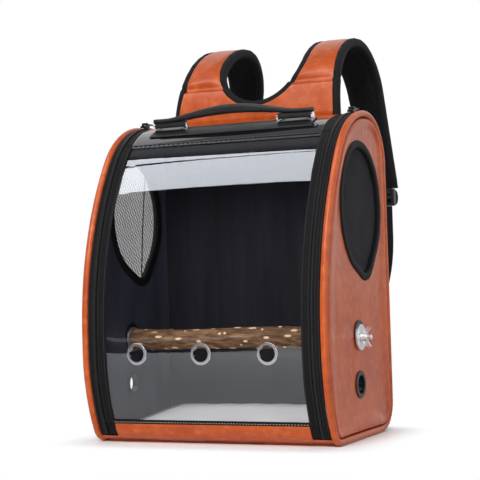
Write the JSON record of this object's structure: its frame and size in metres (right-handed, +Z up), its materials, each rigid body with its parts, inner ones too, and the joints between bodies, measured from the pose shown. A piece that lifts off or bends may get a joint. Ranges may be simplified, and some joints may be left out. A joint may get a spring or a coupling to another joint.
{
  "type": "bird travel carrier",
  "caption": "Backpack carrier for a bird: D-shaped sides with mesh windows, a clear zipped front, a perch across the cabin, a carry handle and padded shoulder straps.",
  "frame": {"origin": "on the floor, under the middle of the shell, on the base face", "axes": "+Z up; -Y is the clear front, +Y the side worn against the back; X runs across the width"},
  "size_m": [0.3586, 0.3907, 0.5209],
  "materials": {
    "tan_leather": "smooth glossy coated leather, tan orange",
    "black_padding": "air mesh over foam",
    "black_lining": "woven nylon lining",
    "black_webbing": "ribbed nylon tape",
    "black_nylon": "moulded nylon",
    "window_mesh": "open knitted mesh",
    "clear_pvc": "clear flexible sheet",
    "chrome": "bright plate",
    "zinc_steel": "zinc plate",
    "black_metal": "black enamel",
    "grip_leather": "smooth black coated leather",
    "board": "stiff board",
    "fleece": "quilted absorbent fleece",
    "bark": "natural bark"
  },
  "bodies": {
    "root": {"back_lining": "black_lining", "back_pad": "black_padding", "back_panel": "tan_leather", "base_panel": "tan_leather", "floor_board": "board", "front_sill": "tan_leather", "handle_base": "black_webbing", "handle_bracket_left": "chrome", "handle_bracket_right": "chrome", "handle_pins": "chrome", "handle_rivets": "chrome", "ladder_lock_left": "black_nylon", "ladder_lock_right": "black_nylon", "lower_webbing_left": "black_webbing", "lower_webbing_right": "black_webbing", "perch_bolt_left": "zinc_steel", "perch_bolt_right": "zinc_steel", "perch_branch": "bark", "perch_grommet_left": "black_metal", "perch_grommet_right": "black_metal", "perch_washers": "zinc_steel", "shoulder_strap_left": "tan_leather", "shoulder_strap_right": "tan_leather", "shoulder_yoke": "tan_leather", "side_lining_left": "black_lining", "side_lining_right": "black_lining", "side_panel_left": "tan_leather", "side_panel_right": "tan_leather", "side_rim_left": "tan_leather", "side_rim_right": "tan_leather", "strap_anchor_left": "black_webbing", "strap_anchor_right": "black_webbing", "top_panel": "tan_leather", "vent_grommet_left": "black_metal", "vent_grommet_right": "black_metal", "webbing_roll_left": "black_webbing", "webbing_roll_right": "black_webbing", "window_binding_left": "black_webbing", "window_binding_right": "black_webbing", "window_mesh_left": "window_mesh", "window_mesh_right": "window_mesh", "zip_coil_left": "black_nylon", "zip_coil_right": "black_nylon", "zip_ends": "tan_leather", "zip_tape_left": "black_webbing", "zip_tape_right": "black_webbing"},
    "cover": {"clear_cover": "clear_pvc", "cover_tape_left": "black_webbing", "cover_tape_right": "black_webbing", "cover_bottom_trim": "black_webbing", "cover_top_trim": "black_webbing", "vent_eyelets": "chrome"},
    "slider_left": {"zip_slider_left": "chrome"},
    "pull_left": {"zip_pull_left": "chrome"},
    "wing_nut_left": {"wing_nut_left": "zinc_steel"},
    "slider_right": {"zip_slider_right": "chrome"},
    "pull_right": {"zip_pull_right": "chrome"},
    "wing_nut_right": {"wing_nut_right": "zinc_steel"},
    "handle": {"handle_grip": "grip_leather"},
    "mat": {"floor_mat": "fleece"}
  },
  "joints": [
    {"name": "cover_hinge", "type": "hinge", "parent": "root", "child": "cover", "pos_m": [0, -0.09383, 0.024], "axis": [1, 0, 0], "range_deg": [0, 85]},
    {"name": "slider_left", "type": "hinge", "parent": "root", "child": "slider_left", "pos_m": [-0.148, 0.05, 0.29], "axis": [1, 0, 0], "range_deg": [0, 48]},
    {"name": "pull_left", "type": "hinge", "parent": "slider_left", "child": "pull_left", "pos_m": [-0.148, 0.0395, 0.41145], "axis": [1, 0, 0], "range_deg": [0, 120]},
    {"name": "slider_right", "type": "hinge", "parent": "root", "child": "slider_right", "pos_m": [0.148, 0.05, 0.29], "axis": [1, 0, 0], "range_deg": [0, 48]},
    {"name": "pull_right", "type": "hinge", "parent": "slider_right", "child": "pull_right", "pos_m": [0.148, 0.0395, 0.41145], "axis": [1, 0, 0], "range_deg": [0, 120]},
    {"name": "handle_swing", "type": "hinge", "parent": "root", "child": "handle", "pos_m": [0, -0.00027, 0.40291], "axis": [1, 0, 0], "range_deg": [-40, 80]},
    {"name": "wing_nut_left", "type": "hinge", "parent": "root", "child": "wing_nut_left", "pos_m": [-0.17, 0, 0.125], "axis": [-1, 0, 0], "continuous": true},
    {"name": "wing_nut_right", "type": "hinge", "parent": "root", "child": "wing_nut_right", "pos_m": [0.17, 0, 0.125], "axis": [1, 0, 0], "continuous": true},
    {"name": "mat_lift", "type": "slide", "parent": "root", "child": "mat", "axis": [0, 0, 1], "range_m": [0, 0.07]}
  ]
}
